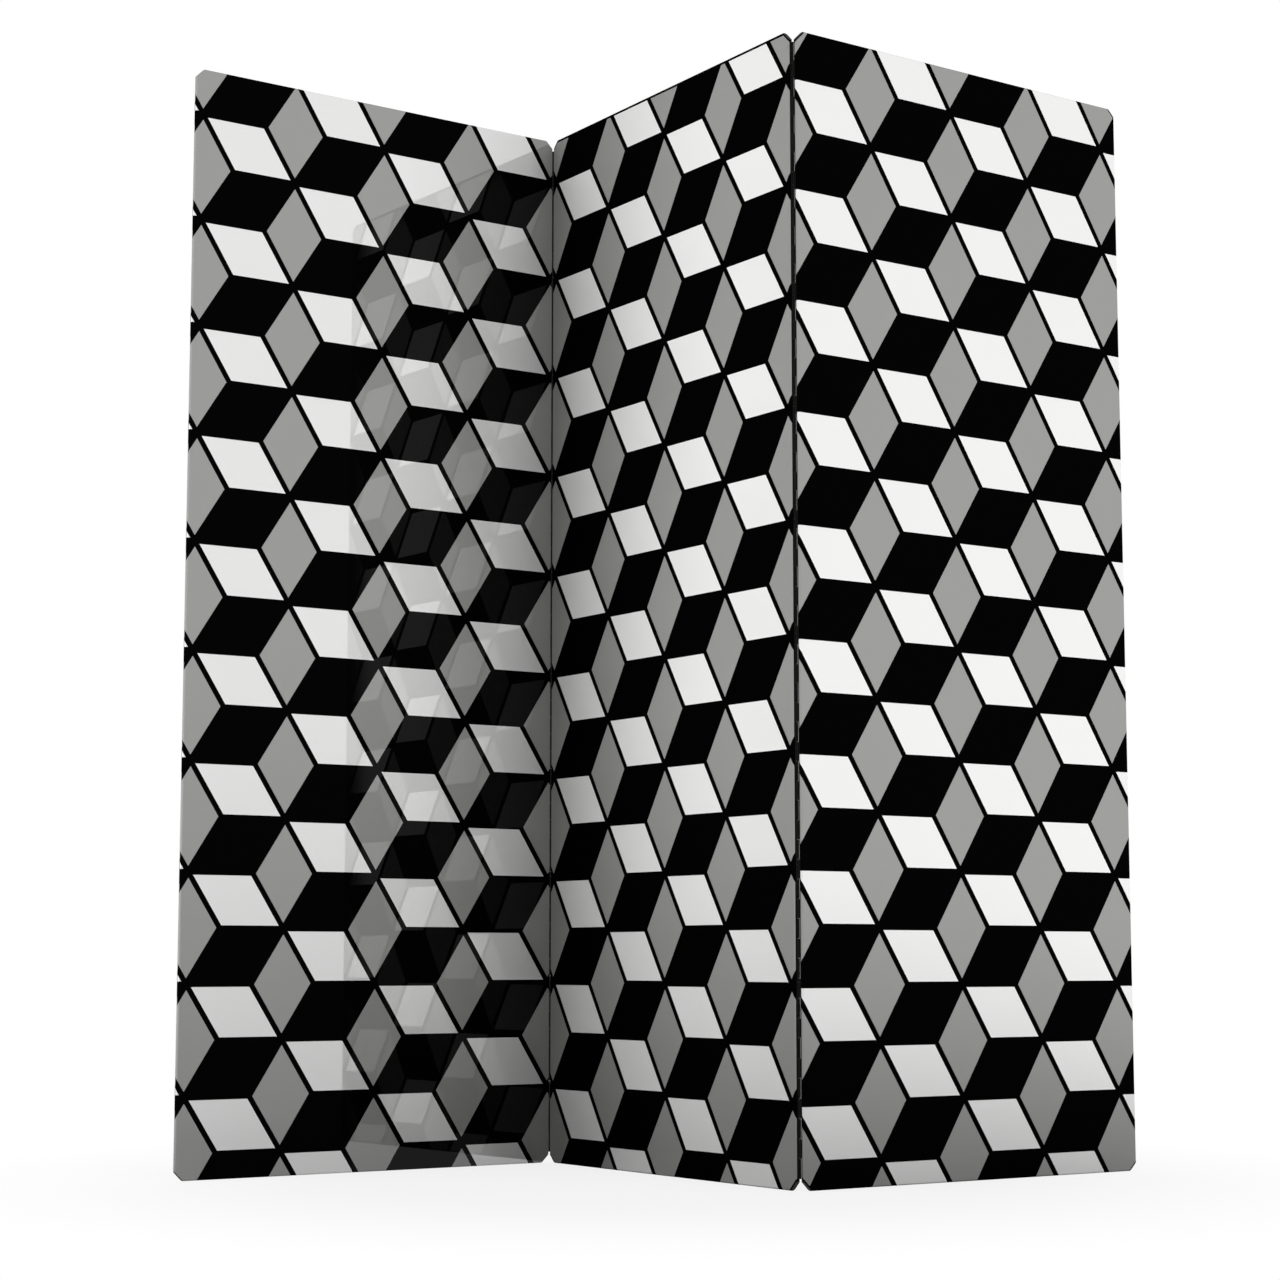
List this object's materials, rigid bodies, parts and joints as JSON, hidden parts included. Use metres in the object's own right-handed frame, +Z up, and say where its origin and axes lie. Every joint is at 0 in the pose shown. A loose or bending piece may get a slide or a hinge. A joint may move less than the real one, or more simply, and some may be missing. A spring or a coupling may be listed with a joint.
{
  "type": "folding screen",
  "caption": "Free-standing folding room screen with slim gloss panels, a printed cube pattern, clipped corners and full-height hinges between the panels.",
  "frame": {"origin": "on the floor under the centre of the middle panel, which is the centre of the standing screen", "axes": "+Z up, -Y towards the side that the picture shows, +X to the right seen from there"},
  "size_m": [1.4818, 0.5046, 1.8],
  "materials": {
    "printed_skin": "high gloss sheet with a black, grey and white print",
    "edge_wood": "black stained, satin",
    "inner_wood": "planed, unfinished",
    "filling": "plain kraft",
    "hinge_black": "black, satin",
    "screw_steel": "zinc plated"
  },
  "bodies": {
    "left_panel": {"left_panel_front_skin": "printed_skin", "left_panel_back_skin": "printed_skin", "left_panel_left_stile": "edge_wood", "left_panel_right_stile": "edge_wood", "left_panel_bottom_rail": "edge_wood", "left_panel_top_rail": "edge_wood", "left_panel_lower_cross_rail": "inner_wood", "left_panel_upper_cross_rail": "inner_wood", "left_panel_core": "filling", "left_hinge_left_leaf": "hinge_black", "left_hinge_left_screws": "screw_steel"},
    "middle_panel": {"middle_panel_front_skin": "printed_skin", "middle_panel_back_skin": "printed_skin", "middle_panel_left_stile": "edge_wood", "middle_panel_right_stile": "edge_wood", "middle_panel_bottom_rail": "edge_wood", "middle_panel_top_rail": "edge_wood", "middle_panel_lower_cross_rail": "inner_wood", "middle_panel_upper_cross_rail": "inner_wood", "middle_panel_core": "filling", "left_hinge_middle_leaf": "hinge_black", "left_hinge_middle_screws": "screw_steel", "left_hinge_pin": "hinge_black", "right_hinge_middle_leaf": "hinge_black", "right_hinge_middle_screws": "screw_steel", "right_hinge_pin": "hinge_black"},
    "right_panel": {"right_panel_front_skin": "printed_skin", "right_panel_back_skin": "printed_skin", "right_panel_left_stile": "edge_wood", "right_panel_right_stile": "edge_wood", "right_panel_bottom_rail": "edge_wood", "right_panel_top_rail": "edge_wood", "right_panel_lower_cross_rail": "inner_wood", "right_panel_upper_cross_rail": "inner_wood", "right_panel_core": "filling", "right_hinge_right_leaf": "hinge_black", "right_hinge_right_screws": "screw_steel"}
  },
  "joints": [
    {"name": "left_fold", "type": "hinge", "parent": "middle_panel", "child": "left_panel", "pos_m": [-0.24751, 0.2482, 0.9], "axis": [0, 0, 1], "range_deg": [-91.5, 88.5]},
    {"name": "right_fold", "type": "hinge", "parent": "middle_panel", "child": "right_panel", "pos_m": [0.24751, -0.2482, 0.9], "axis": [0, 0, 1], "range_deg": [-91.5, 88.5]}
  ]
}
